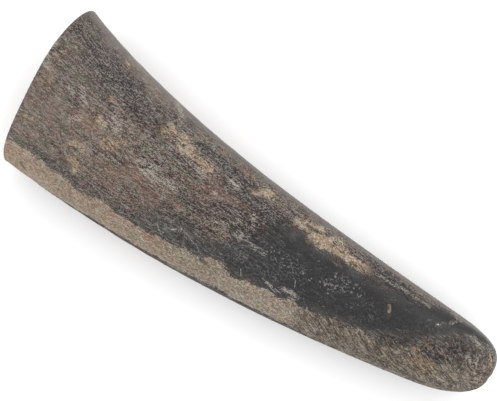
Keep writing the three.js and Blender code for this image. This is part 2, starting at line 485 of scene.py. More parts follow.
def tip_closing(t, angle):
    """How far the section has closed in the rounded tip: 1 before it starts, 0 at its end."""
    along = np.clip((t - TIP_START) / (1 - TIP_START), 0, 1)
    sideways = (TIP_BLUNT_INNER + TIP_BLUNT_OUTER) / 2 - TIP_BLUNT_UPRIGHT
    lopsided = (TIP_BLUNT_INNER - TIP_BLUNT_OUTER) / 2
    blunt = TIP_BLUNT_UPRIGHT + sideways * np.cos(angle) ** 2 + lopsided * np.cos(angle)
    return (1 - along**blunt) ** (1 / blunt)


def half_width(t):
    return lerp(*HALF_WIDTH, t) + BELLY * 4 * t * (1 - t) + FLARE * np.exp(-t / FLARE_REACH)


def centre_height(t):
    return lerp(*CENTRE_HEIGHT, t) + TIP_LIFT * smoothstep(t, TIP_LIFT_FROM, 1)


def section_place(t, angle, inset, share):
    """Places across the section at t: how far sideways of the centre line, and how high above the floor."""
    radius = section_radius(t, angle) * share
    sideways = (half_width(t) - inset) * radius * np.cos(angle)
    reach = np.where(np.sin(angle) > 0, lerp(*RISE, t), lerp(*FALL, t))
    return sideways, centre_height(t) + (reach - inset) * radius * np.sin(angle)


def in_frame(t, sideways, height):
    point, heading = centre_line(t)
    x = point[..., 0] - heading[..., 1] * sideways
    y = point[..., 1] + heading[..., 0] * sideways
    return np.stack([x, y, height], axis=-1)


def outer_surface(t, angle):
    sideways, height = section_place(t, angle, 0, tip_closing(t, angle))
    return in_frame(t, sideways, np.maximum(0, height))


def cavity_surface(t, angle):
    depth = np.clip(t / CAVITY_END, 0, 1)
    return in_frame(t, *section_place(t, angle, WALL, (1 - depth**CAVITY_TAPER) ** CAVITY_CLOSE))


def cut_at(surface, angle):
    """The t at which a surface meets the saw cut, in each direction."""
    t = np.zeros_like(angle)
    for _ in range(CUT_SOLVER_STEPS):
        x, y, z = np.moveaxis(surface(t, angle), -1, 0)
        t = t + (CUT_X - CUT_LEAN * z + CUT_SKEW * y - x) / LENGTH
    return t


# ---- Noise for shapes ----


def random_at(cells, seed):
    """One fixed random number from -1 to 1 for each cell of a lattice."""
    mixed = (cells * np.array([73856093, 19349663, 83492791])).sum(-1) + seed * 2654435761
    mixed = ((mixed ^ (mixed >> 13)) * 1274126177) & 0xFFFFFFFF
    mixed = ((mixed ^ (mixed >> 15)) * 2246822519) & 0xFFFFFFFF
    mixed = mixed ^ (mixed >> 16)
    return (mixed & 0xFFFFFF) / 0x7FFFFF - 1


def noise(points, seed, octaves=1):
    """Smooth noise from -1 to 1 with lumps one unit wide."""
    total = np.zeros(points.shape[:-1])
    strength = 1.0
    for octave in range(octaves):
        place = points * 2**octave
        cell = np.floor(place).astype(np.int64)
        share = place - cell
        share = share * share * (3 - 2 * share)
        for corner in np.ndindex(2, 2, 2):
            weight = np.prod(np.where(np.array(corner) == 1, share, 1 - share), axis=-1)
            total += strength * weight * random_at(cell + np.array(corner), seed + octave)
        strength *= 0.5
    return total


def shape_noise(name, straight):
    strength, along, across, seed, octaves = SHAPE_NOISES[name]
    return strength * noise(straight * (along, across, across), seed, octaves)


# ---- The grid of rings ----


def even_shares():
    """Shares of the way from the saw cut to the tip, evenly spaced on the surface and closer at the cut."""
    dense = 1 - np.linspace(1, 0, MEASURED_ROWS) ** 2
    angles = np.linspace(0, 2 * math.pi, MEASURED_AROUND, endpoint=False)
    points = outer_surface(dense[:, None], angles[None, :])
    steps = np.linalg.norm(np.diff(points, axis=0), axis=-1).mean(axis=1)
    travelled = np.concatenate([[0], np.cumsum(steps)])
    gaps = np.ones(OUTER_ROWS)
    gaps[:EDGE_ROWS] = EDGE_SPACING
    wanted = np.cumsum(gaps) - gaps[0]
    wanted *= travelled[-1] / (wanted[-1] + 1)
    return np.interp(wanted, travelled, dense)


def round_edge(rings, row):
    """Rounds the edge at a row of the grid, by averaging each ring near it with its neighbours."""
    first, last = row - EDGE_ROUNDING_ROWS, row + EDGE_ROUNDING_ROWS + 1
    for _ in range(EDGE_ROUNDING_PASSES):
        near = rings[first - 1 : last + 1]
        rings[first:last] = near[1:-1] / 2 + (near[:-2] + near[2:]) / 4


def make_grid():
    """Ring by ring from the tip to the cavity's end: points, and their places along (t) and round (angle)."""
    angle = np.linspace(0, 2 * math.pi, AROUND, endpoint=False)
    start = cut_at(outer_surface, angle)
    shares = even_shares()[::-1, None]
    outer_t = start + (1 - start) * shares
    inner_start = cut_at(cavity_surface, angle)
    across = (1 - np.cos(math.pi * np.arange(1, RIM_ROWS) / RIM_ROWS)) / 2
    outer_edge = outer_surface(start, angle)
    inner_edge = cavity_surface(inner_start, angle)
    rim = lerp(outer_edge, inner_edge, across[:, None, None])
    rim_t = lerp(start, inner_start, across[:, None])
    down = 1 - (1 - np.arange(CAVITY_ROWS) / CAVITY_ROWS) ** 2
    cavity_t = lerp(inner_start, CAVITY_END, down[:, None])
    t = np.concatenate([outer_t, rim_t, cavity_t])
    angles = np.broadcast_to(angle, t.shape)
    outside = outer_surface(outer_t, angles[: len(outer_t)])
    rings = np.concatenate([outside, rim, cavity_surface(cavity_t, angle)])
    round_edge(rings, RIM_START)
    round_edge(rings, RIM_END)
    return rings, t, angles


def grid_faces(rows):
    """Quads between neighbouring rings, and a fan of triangles at each end, facing out."""
    column = np.arange(AROUND)
    beside = (column + 1) % AROUND
    faces = []
    for row in range(rows - 1):
        here, there = row * AROUND, (row + 1) * AROUND
        faces += np.stack([here + column, there + column, there + beside, here + beside], axis=-1).tolist()
    tip, end = rows * AROUND, rows * AROUND + 1
    last = (rows - 1) * AROUND
    faces += [[tip, int(a), int(b)] for a, b in zip(column, beside)]
    faces += [[end, last + int(b), last + int(a)] for a, b in zip(column, beside)]
    return faces


def add_ends(values, tip, end):
    """One row for each vertex: the grid's, then the tip's and the cavity end's."""
    flat = values.reshape((-1,) + values.shape[2:])
    return np.concatenate([flat, [tip], [end]])


# ---- Fields over the surface ----


def round_radius(along):
    """Mean radius of the section, which turns degrees round the horn into millimetres."""
    t = np.clip(along / LENGTH, 0, 1)
    return (half_width(t) + (lerp(*RISE, t) + lerp(*FALL, t)) / 2) / 2


def millimetres_round(degrees, along):
    return np.radians((degrees + 180) % 360 - 180) * round_radius(along)


def mark_distance(along, turn, start, end):
    """Millimetres from each vertex to the line from a mark's start to its end."""
    middle = (start[0] + end[0]) / 2
    ends = [np.array([place[0], np.radians(place[1]) * round_radius(middle)]) for place in (start, end)]
    here = np.stack([along, ends[0][1] + millimetres_round(turn - start[1], along)], axis=-1)
    run = ends[1] - ends[0]
    share = np.clip((here - ends[0]) @ run / (run @ run), 0, 1)
    return np.linalg.norm(here - ends[0] - share[..., None] * run, axis=-1)


def mark_field(marks, along, turn):
    """1 at the core of a mark, 0 at its edge and below 0 outside, for the nearest of these marks."""
    field = np.full(along.shape, -MARK_EDGE)
    for _, start, end, width, strength in marks:
        near = 1 - mark_distance(along, turn, start, end) / width
        field = np.maximum(field, np.where(near > 0, near * strength, near))
    return field


def scratch_fields(along, turn):
    """Signed millimetres sideways of the nearest scratch, and how near it is: 1 on it, 0 out of its reach."""
    aside = np.zeros(along.shape)
    nearest = np.full(along.shape, np.inf)
    for start, end in SCRATCHES:
        distance = mark_distance(along, turn, start, end)
        rise = np.radians(end[1] - start[1]) * round_radius(along)
        run = end[0] - start[0]
        above = millimetres_round(turn - start[1], along)
        offset = (above * run - (along - start[0]) * rise) / np.hypot(run, rise)
        closer = distance < nearest
        aside = np.where(closer, offset, aside)
        nearest = np.where(closer, distance, nearest)
    return aside, 1 - nearest / SCRATCH_REACH


def edge_angle(edge, along):
    places, angles = zip(*edge)
    return np.interp(along, places, angles)


def surface_fields(t, angle, straight, height):
    """Named values for each vertex, that the material reads and the relief follows."""
    along = t * LENGTH
    turn = np.degrees(angle)
    ragged = shape_noise("ragged edges", straight) + shape_noise("finer edges", straight)
    band_edge = edge_angle(BAND_EDGE, along)
    above = millimetres_round(turn - band_edge, along)
    below = millimetres_round(edge_angle(BAND_FOOT, along) - turn, along)
    charcoal_top = millimetres_round(turn - edge_angle(CHARCOAL_EDGE, along), along)
    charcoal_foot = millimetres_round(edge_angle(CHARCOAL_FOOT, along) - turn, along)
    charcoal = np.minimum(np.minimum(charcoal_top + 1.5 * ragged, -above + 1.0), charcoal_foot + ragged)
    under = smoothstep(turn, *UNDERSIDE_STARTS) * smoothstep(turn, *UNDERSIDE_ENDS)
    under_charcoal = np.minimum(0.25 * (along - UNDER_CHARCOAL_FROM), 10 * (under - 0.5)) + 3 * ragged
    side = turn - 360 * (turn > SEAM)
    # The band's foot: dark keratin where the outer side turns under, painted darker as shade along the lower
    # edge.
    foot = np.minimum(-below, FOOT_WIDTH + below)
    foot = foot - 1.5 * smoothstep(along, *FOOT_NARROWS) - 3 * smoothstep(along, *FOOT_ENDS)
    # Polish and painted sheen: the inner side is smoother, and the skin paints a lighter, greyer sheen over
    # it.
    polish = smoothstep(side + 6 * ragged, *POLISH_ENDS) * smoothstep(side + 12 * ragged, *POLISH_STARTS)
    scratch, near_scratch = scratch_fields(along, turn)
    return {
        "band": np.minimum(above + ragged, below + 0.6 * ragged),
        "charcoal": np.maximum(charcoal, under_charcoal),
        "foot": foot,
        "tan": mark_field(TAN_MARKS, along, turn) + 0.3 * ragged,
        **{name: mark_field(marks, along, turn) for name, marks in PLAIN_MARKS.items()},
        "scratch": scratch,
        "near_scratch": near_scratch,
        **{name: 1 - mark_distance(along, turn, *ends) / width for name, (*ends, width) in NICK.items()},
        "polish": polish,
        "rub": smoothstep(height, *RUB_HEIGHT),
        "along": along,
    }


# ---- Relief ----


def outer_relief(fields, straight):
    """How far the outside stands proud of the plain surface, in millimetres."""
    bark = 1 - np.clip(fields["charcoal"], 0, 1)
    fibres = shape_noise("ridges", straight) + shape_noise("fibres", straight)
    rings = np.sin(fields["along"] / RING_SPACING * 2 * math.pi + shape_noise("ring drift", straight))
    worn = np.maximum(smoothstep(fields["band"], -0.3, 0.5), smoothstep(fields["tan"], -0.1, 0.25))
    return (
        shape_noise("swell", straight)
        + RING_HEIGHT * rings * smoothstep(fields["along"], *RINGS_FADE)
        + fibres * lerp(CHARCOAL_FIBRES, 1, bark)
        - STEP_DEPTH * worn
        - PIT_DEPTH * smoothstep(shape_noise("pits", straight), 0.62, 0.95) * bark
        - NICK_DEPTH * smoothstep(fields["nick"], 0, 0.8)
    )


def cut_relief(straight):
    """Saw marks: fine ridges across the cut, at a slant."""
    across = straight[..., 1] * SAW_MARK_SLANT[0] + straight[..., 2] * SAW_MARK_SLANT[1]
    lines = np.sin(across * 2 * math.pi / SAW_MARK_SPACING + shape_noise("saw drift", straight))
    return SAW_MARK_HEIGHT * lines + shape_noise("saw swell", straight)


def cavity_relief(straight):
    """The bony core's print: ridges and furrows that run along the cavity."""
    return shape_noise("furrows", straight) + shape_noise("cavity grain", straight)


def straightened(points, t):
    """Places in the horn's own unbent space: along it, sideways of its centre line, and above that line."""
    centre, heading = centre_line(t)
    offset = points[:, :2] - centre
    sideways = offset[:, 1] * heading[:, 0] - offset[:, 0] * heading[:, 1]
    ahead = (offset * heading).sum(-1)
    return np.stack([t * LENGTH + ahead, sideways, points[:, 2] - centre_height(t)], axis=-1)


def whole_relief(fields, straight, row):
    """Millimetres that each vertex stands proud. Skin, saw cut and cavity pass softly into each other."""
    outside = 1 - smoothstep(row, RIM_START - 4, RIM_START + 1)
    on_cut = smoothstep(row, RIM_START - 3, RIM_START + 2) * smoothstep(row, RIM_END + 3, RIM_END - 2)
    in_cavity = smoothstep(row, RIM_END - 2, RIM_END + 4)
    inner_relief = on_cut * cut_relief(straight) + in_cavity * cavity_relief(straight)
    return outside * outer_relief(fields, straight) + inner_relief


def write_fields(mesh, fields, straight):
    """Stores the fields and the straightened places on the vertices, where the materials read them."""
    for name, values in fields.items():
        mesh.attributes.new(name, "FLOAT", "POINT").data.foreach_set("value", values.astype(np.float32))
    fibre = mesh.attributes.new("fibre", "FLOAT_VECTOR", "POINT")
    fibre.data.foreach_set("vector", straight.astype(np.float32).ravel())


def lay_materials(mesh, rows):
    """Gives each face the skin, the sawn face or the cavity's finish, by its row."""
    face_row = np.array([polygon.vertices[0] for polygon in mesh.polygons]) // AROUND
    face_row[face_row >= rows] = 0
    face_row[-AROUND:] = rows
    material = (face_row >= RIM_START).astype(np.int32) + (face_row >= RIM_END)
    mesh.polygons.foreach_set("material_index", material.astype(np.int32))
    mesh.polygons.foreach_set("use_smooth", np.ones(len(mesh.polygons), dtype=bool))
    for finish in (skin_material(), sawn_material(), hollow_material()):
        mesh.materials.append(finish)


def make_horn():
    """The plain rings as one mesh, pushed out along its normals by the relief."""
    rings, t, angle = make_grid()
    rows = len(rings)
    tip = outer_surface(np.array([1.0]), np.array([0.0]))[0]
    end = cavity_surface(np.array([CAVITY_END]), np.array([0.0]))[0]
    points = add_ends(rings, tip, end)
    t = add_ends(t, 1.0, CAVITY_END)
    angle = add_ends(angle, 0.0, 0.0)
    row = add_ends(np.repeat(np.arange(rows), AROUND).reshape(rows, AROUND), 0, rows)
    straight = straightened(points, t)
    fields = surface_fields(t, angle, straight, points[:, 2])

    mesh = bpy.data.meshes.new("horn")
    mesh.from_pydata((points * MM).tolist(), [], grid_faces(rows))
    normals = np.zeros(len(points) * 3)
    mesh.vertices.foreach_get("normal", normals)
    points = points + normals.reshape(-1, 3) * whole_relief(fields, straight, row)[:, None]
    points[:, 2] = np.maximum(points[:, 2], 0)
    mesh.vertices.foreach_set("co", (points * MM).ravel())

    fields["wall"] = smoothstep(row, RIM_START, RIM_END)
    write_fields(mesh, fields, straight)
    lay_materials(mesh, rows)
    mesh.update()
    horn = bpy.data.objects.new("horn_sheath", mesh)
    bpy.context.scene.collection.objects.link(horn)
    return horn


# ---- Materials ----

# Colours are mixed as they look on screen. This is how bright the studio's light makes a white surface, how
# much its gloss adds, and the darkest base colour.
LIGHT = 1.355
GLOSS = 0.0325
DARKEST = 0.003

# The screen's tone curve: light = ((value + offset) / (1 + offset)) ** gamma.
SCREEN_OFFSET = 0.055
SCREEN_GAMMA = 2.4

# How strongly the horn shines, as the shader's specular level.
SPECULAR = 0.35


def look(red, green, blue):
    """A colour as it looks on screen, each channel from 0 to 255."""
    return [red / 255, green / 255, blue / 255, 1.0]


class Nodes:
    """Builds one material. Every value is a number, a vector, a colour or another node's output."""

    def __init__(self, name):
        self.material = bpy.data.materials.new(name)
        self.material.use_nodes = True
        self.tree = self.material.node_tree
        self.shader = self.tree.nodes["Principled BSDF"]

    def put(self, socket, value):
        if isinstance(value, bpy.types.NodeSocket):
            self.tree.links.new(value, socket)
        else:
            socket.default_value = value

    def node(self, kind, inputs, **settings):
        """The outputs of a new node, whose inputs are given by name or by number."""
        node = self.tree.nodes.new("ShaderNode" + kind)
        for name, value in settings.items():
            setattr(node, name, value)
        for key, value in inputs.items():
            self.put(node.inputs[key], value)
        return node.outputs

    def attribute(self, name, output="Fac"):
        """A field of the mesh, read by one node however often it is asked for."""
        if name not in self.tree.nodes:
            self.node("Attribute", {}, name=name, attribute_name=name)
        return self.tree.nodes[name].outputs[output]

    def math(self, operation, a, b=0.0):
        return self.node("Math", {0: a, 1: b}, operation=operation)[0]

    def vector(self, operation, *values):
        return self.node("VectorMath", dict(enumerate(values)), operation=operation)[0]

    def times(self, *factors):
        return functools.reduce(lambda a, b: self.math("MULTIPLY", a, b), factors)

    def most(self, *values):
        return functools.reduce(lambda a, b: self.math("MAXIMUM", a, b), values)

    def total(self, *parts):
        """The sum of some values, each times its own weight."""
        return functools.reduce(lambda a, b: self.math("ADD", a, b), [self.times(*part) for part in parts])

    def stretched(self, vector, scale, lean=0.0, drop=0.0):
        """Coordinates scaled on each axis. Before that, X slants Y by the lean and Z by the drop."""
        if lean or drop:
            x, y, z = self.node("SeparateXYZ", {0: vector})
            slanted = {"X": x, "Y": self.total((y, 1.0), (x, lean)), "Z": self.total((z, 1.0), (x, drop))}
            vector = self.node("CombineXYZ", slanted)[0]
        return self.vector("MULTIPLY", vector, scale)

    def noise(self, vector, detail, roughness=0.5):
        inputs = {"Vector": vector, "Scale": 1.0, "Detail": detail, "Roughness": roughness}
        return self.node("TexNoise", inputs)["Fac"]

    def fibre_noise(self, along, across, detail=1.0, roughness=0.5, lean=0.0, drop=0.0):
        """Noise in the horn's own straightened space, with so many lumps to a millimetre along and across."""
        space = self.stretched(self.attribute("fibre", "Vector"), (along, across, across), lean, drop)
        return self.noise(space, detail, roughness)

    def threads(self, along, across, width, lean):
        """Thin winding lines: 1 on them, 0 beside them."""
        away = self.math("ABSOLUTE", self.math("SUBTRACT", self.fibre_noise(along, across, lean=lean), 0.5))
        return self.ramp(away, width, width / 3)

    def ramp(self, value, low, high, start=0.0, end=1.0):
        """A smooth step from start to end as the value goes from low to high."""
        inputs = dict(enumerate((value, low, high, start, end)))
        return self.node("MapRange", inputs, interpolation_type="SMOOTHSTEP")[0]

    def mix(self, share, a, b):
        return self.node("Mix", {0: share, 6: a, 7: b}, data_type="RGBA")[2]

    def blend(self, share, a, b):
        """The same for plain numbers."""
        return self.node("Mix", {0: share, 2: a, 3: b}, data_type="FLOAT")[0]

    def coats(self, colour, *coats):
        """A colour under others. Each coat has a name, the share of it that shows, and its own colour."""
        for _, share, coat in coats:
            colour = self.mix(share, colour, coat)
        return colour

    def lighten(self, colour, *amounts):
        """Adds each amount, on the scale of 0 to 255, to all three channels."""
        for amount in amounts:
            colour = self.vector("ADD", colour, self.math("DIVIDE", amount, 255))
        return colour

    def base_colour(self, colour):
        """The base colour that looks like this on screen, in the studio's light."""
        scale = 1 / (1 + SCREEN_OFFSET)
        shifted = self.vector("MULTIPLY_ADD", colour, [scale] * 3, [SCREEN_OFFSET * scale] * 3)
        shifted = self.vector("MAXIMUM", shifted, [0.0] * 3)
        light = self.node("Gamma", {"Color": shifted, "Gamma": SCREEN_GAMMA})[0]
        base = self.vector("MULTIPLY_ADD", light, [1 / LIGHT] * 3, [-GLOSS / LIGHT] * 3)
        return self.vector("MAXIMUM", base, [DARKEST] * 3)

    def finish(self, colour, roughness, height, depth):
        """Sets the shader's colour, roughness and a bump whose full height is depth millimetres."""
        bump = self.node("Bump", {"Distance": depth * MM, "Height": height})[0]
        self.put(self.shader.inputs["Base Color"], self.base_colour(colour))
        self.put(self.shader.inputs["Roughness"], roughness)
        self.put(self.shader.inputs["Normal"], bump)
        self.shader.inputs["Specular IOR Level"].default_value = SPECULAR
        return self.material


# The skin's noises: lumps to a millimetre along and across the horn, detail, roughness, lean and drop.
SKIN_NOISES = {
    "tone": (0.06, 0.12, 3),
    "hue": (0.17, 0.31, 2),
    "tint": (0.5, 0.7),
    "patch": (0.25, 0.5, 3),
    "stripe": (0.17, 1.1, 2, 0.6, 0.05),
    "streak": (0.24, 2.3, 1, 0.5, 0.06),
    "cross": (0.7, 2.6, 1, 0.5, -0.3),
    "speck": (2.5, 2.7),
    "dust": (3.4, 3.8),
    "slant": (0.3, 1.9, 1, 0.5, 0.45, 0.35),
    "mottle": (1.0, 1.3, 2),
}


class SkinNodes(Nodes):
    """The fields and the noises that the layers of the skin share."""

    def __init__(self, name):
        super().__init__(name)
        for field in ("along", "band", "polish", "charcoal", "fleck"):
            setattr(self, field, self.attribute(field))
        for kind, shape in SKIN_NOISES.items():
            setattr(self, kind, self.fibre_noise(*shape))
        self.density = self.ramp(self.fleck, -0.6, 1.1)
        self.on_band = self.ramp(self.band, -1, 1)
        self.on_tip = self.ramp(self.along, *TIP_GRAIN)
        bark_grain = self.total((self.streak, 0.17), (self.cross, 0.27), (self.speck, 0.56))
        tip_grain = self.total((self.mottle, 0.4), (self.slant, 0.12), (self.speck, 0.48))
        self.grain = self.blend(self.on_tip, bark_grain, tip_grain)
        self.fine = self.total((self.grain, 1.0), (self.patch, 0.5), (0.75, -1.0))
        self.strokes = self.times(self.ramp(self.slant, 0.57, 0.64), self.ramp(self.mottle, 0.46, 0.54))
        self.brown = self.stain("brown", 1.0)
        self.red = self.stain("red", 1.0)

    def stain(self, name, share):
        """How much of a marked stain shows: this share at its core, broken up at its edge by fine noise."""
        edge = self.math("ADD", self.attribute(name), self.times(self.fine, 3.0))
        return self.ramp(edge, -0.6, 0.8, 0, share)


def pale_fibres(n):
    """Where the bark shows pale fibres, dry streaks, curls and motes, or slanted strokes towards the tip."""
    fibres = n.times(n.threads(0.3, 1.5, 0.06, 0.12), n.ramp(n.cross, 0.52, 0.6))
    dry = n.times(n.ramp(n.streak, 0.58, 0.64), n.ramp(n.dust, 0.48, 0.56))
    crumbly = n.ramp(n.total((n.patch, 0.5), (n.mottle, 0.5)), 0.51, 0.58)
    curls = n.times(n.threads(0.5, 0.6, 0.05, 0.2), crumbly)
    motes = n.times(n.ramp(n.speck, 0.65, 0.71), n.ramp(n.patch, 0.46, 0.56, 0.25, 1))
    return n.blend(n.on_tip, n.most(curls, motes, fibres, dry), n.times(n.strokes, 0.8))


def bark_colour(n, pale):
    """Bark: broad tones, hues and patches, then stains and a painted sheen on the polished side, then the
    grain of its fibres.
    """
    dark = n.stain("dark", 0.75)
    bark = n.coats(
        n.mix(n.ramp(n.tone, 0.4, 0.6), look(91, 84, 80), look(111, 100, 93)),
        ("purplish hue", n.ramp(n.hue, 0.52, 0.64, 0, 0.8), look(97, 82, 82)),
        ("greenish hue", n.ramp(n.hue, 0.46, 0.36, 0, 0.7), look(106, 104, 88)),
        ("brown ground", n.times(n.brown, 0.8), look(129, 114, 102)),
        ("light patches", n.ramp(n.patch, 0.54, 0.68, 0, 0.5), look(130, 119, 109)),
        ("dark patches", n.ramp(n.patch, 0.44, 0.34, 0, 0.4), look(80, 75, 72)),
        ("red stains", n.times(n.red, 0.8), look(125, 101, 91)),
        # Painted sheen: the polished inner side is mixed towards a lighter grey, as if light were shining off
        # it.
        ("painted sheen on the polished side", n.times(n.polish, 0.5), look(110, 103, 99)),
        ("warm tint", n.ramp(n.tint, 0.52, 0.64, 0, 0.5), look(117, 94, 87)),
        ("cool tint", n.ramp(n.tint, 0.48, 0.36, 0, 0.5), look(95, 97, 87)),
        ("orange stains", n.stain("orange", 0.55), look(132, 110, 92)),
        ("dark stains", dark, look(66, 60, 59)),
    )
    quiet = n.most(n.polish, n.times(n.brown, 0.45), n.times(n.red, 0.85), n.ramp(n.along, 158, 170, 0, 0.35))
    contrast = n.blend(quiet, n.ramp(n.along, 10, 50, 0.68, 1.2), 0.4)
    contrast = n.blend(dark, contrast, 1.3)
    grain = n.times(n.ramp(n.grain, 0.42, 0.64, -27, 45), contrast)
    shade = n.math("ADD", grain, n.ramp(n.stripe, 0.38, 0.62, -6, 6))
    bark = n.lighten(bark, shade, n.ramp(n.along, 30, 60, 3, 0))
    return n.coats(bark, ("pale fibres", n.times(pale, n.blend(n.polish, 0.55, 0.15)), look(182, 176, 168)))


def charcoal_colour(n, pale):
    """Charcoal: nearly plain, with faint streaks at its edges, pale flecks and a painted sheen on its
    polished side near the tip.
    """
    charcoal = n.mix(n.ramp(n.charcoal, 0.5, 5), look(75, 73, 71), look(60, 60, 61))
    mottled = n.math("ADD", n.ramp(n.mottle, 0.4, 0.6, -4, 4), n.ramp(n.speck, 0.35, 0.65, -4, 5))
    edge = n.times(n.ramp(n.charcoal, 3, 0.5), n.ramp(n.along, *STREAKED_EDGE))
    charcoal = n.lighten(charcoal, mottled, n.times(edge, n.ramp(n.streak, 0.47, 0.62, -4, 36)))
    fleck = n.ramp(n.total((n.speck, 0.7), (n.cross, 0.3), (n.density, 0.05)), 0.68, 0.76)
    return n.coats(
        charcoal,
        ("dark stains", n.stain("dark", 0.9), look(50, 49, 48)),
        ("brown grains", n.times(n.brown, n.ramp(n.grain, 0.48, 0.6, 0, 0.5)), look(88, 77, 70)),
        # Painted sheen: a light grey reflection painted on the polished charcoal near the tip.
        ("sheen", n.times(n.polish, n.ramp(n.along, 150, 164, 0, 0.6)), look(149, 146, 141)),
        ("flecks", n.times(fleck, 0.8), look(184, 180, 174)),
        ("last fibres", n.times(pale, n.ramp(n.along, 112, 84, 0, 0.6)), look(150, 146, 140)),
    )


def scratch_coats(n):
    """Hair scratches, thin lines and solid white flecks."""
    curl = n.threads(0.7, 0.9, 0.05, 0.5)
    hair = n.times(curl, n.ramp(n.mottle, 0.47, 0.54), n.ramp(n.density, 0.15, 0.7))
    line = n.ramp(n.math("ABSOLUTE", n.attribute("scratch")), 0.22, 0.06)
    line = n.times(line, n.ramp(n.attribute("near_scratch"), 0.4, 0.8), n.ramp(n.speck, 0.38, 0.52, 0.3, 1))
    solid = n.times(n.ramp(n.fleck, 0.8, 1.2), n.ramp(n.speck, 0.4, 0.5, 0.4, 1))
    return [
        ("hair scratches", n.times(hair, 0.6), look(176, 173, 168)),
        ("thin lines", n.times(line, 0.8), look(188, 185, 180)),
        ("white flecks", solid, look(204, 202, 198)),
    ]


def tan_colour(n):
    """Tan: the worn layer, granular, brightest at its core, with brown pits."""
    beyond = n.times(n.ramp(n.along, 55, 85, 0, 0.5), n.on_band)
    blotch = n.times(n.ramp(n.patch, 0.47, 0.36, 0, 0.55), n.ramp(n.band, 1, -1))
    tan = n.coats(
        n.mix(n.ramp(n.patch, 0.42, 0.62), look(152, 138, 123), look(176, 162, 145)),
        ("core", n.ramp(n.attribute("tan"), 0.35, 1.0, 0, 0.7), look(180, 163, 144)),
        ("pinkish hue", n.ramp(n.hue, 0.52, 0.62, 0, 0.8), look(162, 137, 123)),
        ("greenish hue", n.ramp(n.hue, 0.47, 0.37, 0, 0.6), look(151, 145, 124)),
        ("warm tint", n.ramp(n.tint, 0.52, 0.64, 0, 0.55), look(166, 140, 113)),
        ("greyer band", beyond, look(140, 133, 122)),
        ("orange stains", n.stain("orange", 0.6), look(160, 136, 111)),
        ("blotches off the band", blotch, look(118, 102, 90)),
    )
    sand = n.ramp(n.total((n.cross, 0.35), (n.slant, 0.25), (n.speck, 0.4)), 0.41, 0.61, -27, 27)
    sand = n.times(sand, n.ramp(n.along, 15, 50, 0.75, 1), n.ramp(n.band, -1, 1, 1.05, 0.85))
    ends = n.math("ADD", n.ramp(n.along, 70, 100, 0, 8), n.ramp(n.along, 32, 14, 0, 6))
    return n.coats(
        n.lighten(tan, sand, n.ramp(n.mottle, 0.36, 0.64, -16, 18), n.times(ends, n.on_band)),
        ("small pits", n.ramp(n.dust, 0.4, 0.34, 0, 0.6), look(100, 88, 78)),
        ("pits", n.ramp(n.speck, 0.36, 0.3, 0, 0.7), look(84, 74, 67)),
        ("dark stains", n.stain("dark", 0.7), look(84, 76, 71)),
    )


def khaki_colour(n):
    """Towards the tip the worn band is not clean: streaks of tan and of bark lie side by side."""
    khaki = n.coats(
        n.mix(n.ramp(n.patch, 0.42, 0.6), look(102, 96, 89), look(130, 121, 108)),
        ("orange stains", n.stain("orange", 0.7), look(138, 119, 101)),
        ("dark stains", n.stain("dark", 0.8), look(70, 67, 64)),
        ("pale fibres", n.stain("pale", 0.5), look(146, 138, 126)),
        ("warm tint", n.ramp(n.tint, 0.52, 0.66, 0, 0.35), look(128, 108, 90)),
    )
    grit = n.total((n.slant, 0.2), (n.cross, 0.2), (n.speck, 0.6))
    return n.coats(
        n.lighten(khaki, n.ramp(grit, 0.41, 0.61, -25, 25), n.ramp(n.mottle, 0.36, 0.64, -10, 10)),
        ("light strokes", n.times(n.strokes, 0.7), look(180, 170, 153)),
        ("dark strokes", n.ramp(n.slant, 0.42, 0.36, 0, 0.6), look(68, 64, 60)),
    )


